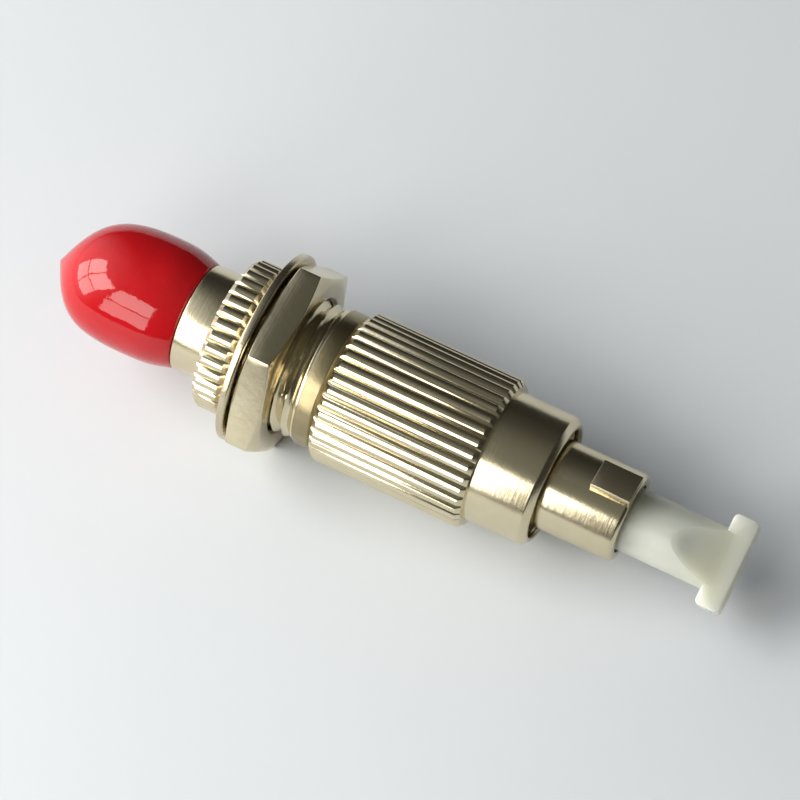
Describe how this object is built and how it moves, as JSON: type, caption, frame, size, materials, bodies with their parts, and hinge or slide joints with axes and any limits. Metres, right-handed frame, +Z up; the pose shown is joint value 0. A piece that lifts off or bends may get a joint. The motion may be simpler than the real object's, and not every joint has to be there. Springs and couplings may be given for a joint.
{
  "type": "sma to fc fibre adapter",
  "caption": "Hybrid fibre-optic adapter: SMA receptacle with knurled flange, washer and panel nut, joined to a keyed FC plug with knurled coupling nut, both ends under dust caps",
  "frame": {"origin": "on the common axis, at the face of the knurled flange that seats against a panel", "axes": "+X along the common axis towards the FC end, +Z up with one flat of the panel nut down, +Y to the left when looking along +X"},
  "size_m": [0.048, 0.0138, 0.0129],
  "materials": {
    "nickel_plated_brass": "bright nickel plate",
    "washer_steel": "plated, stamped",
    "spring_steel": "drawn, bright",
    "zirconia": "polished ceramic",
    "fibre_glass": "drawn glass",
    "red_vinyl": "glossy dip-moulded",
    "white_polyethylene": "translucent, satin moulded"
  },
  "bodies": {
    "adapter_body": {"sma_receptacle": "nickel_plated_brass", "plug_body": "nickel_plated_brass", "plug_frame": "nickel_plated_brass", "ferrule_spring": "spring_steel"},
    "optical_stub": {"ferrule_holder": "nickel_plated_brass", "fc_ferrule": "zirconia", "sma_ferrule": "spring_steel", "fibre": "fibre_glass"},
    "sma_cap": {"sma_dust_cap": "red_vinyl"},
    "fc_cap": {"fc_dust_cap": "white_polyethylene"},
    "washer": {"panel_washer": "washer_steel"},
    "hex_nut": {"panel_nut": "nickel_plated_brass"},
    "nut_ring": {"retaining_ring": "spring_steel"},
    "knurled_nut": {"coupling_nut": "nickel_plated_brass"}
  },
  "joints": [
    {"name": "sma_cap_pull", "type": "slide", "parent": "adapter_body", "child": "sma_cap", "axis": [-1, 0, 0], "range_m": [0, 0.012]},
    {"name": "fc_cap_pull", "type": "slide", "parent": "adapter_body", "child": "fc_cap", "axis": [1, 0, 0], "range_m": [0, 0.009]},
    {"name": "washer_slide", "type": "slide", "parent": "adapter_body", "child": "washer", "axis": [1, 0, 0], "range_m": [-0.00045, 0.0015]},
    {"name": "panel_nut_spin", "type": "hinge", "parent": "washer", "child": "hex_nut", "pos_m": [0, 0, 0], "axis": [1, 0, 0], "range_deg": [-216.1, 720.1]},
    {"name": "coupling_nut_slide", "type": "slide", "parent": "adapter_body", "child": "nut_ring", "axis": [1, 0, 0], "range_m": [0, 0.0045]},
    {"name": "coupling_nut_spin", "type": "hinge", "parent": "nut_ring", "child": "knurled_nut", "pos_m": [0.0075, 0, 0], "axis": [1, 0, 0], "continuous": true},
    {"name": "stub_slide", "type": "slide", "parent": "adapter_body", "child": "optical_stub", "axis": [-1, 0, 0], "range_m": [0, 0.001], "stiffness_N_per_m": 1000, "deforming": ["ferrule_spring"]}
  ],
  "couplings": [
    {"joint": "panel_nut_spin", "follows": "washer_slide", "rad_per_m": 8377.6}
  ]
}
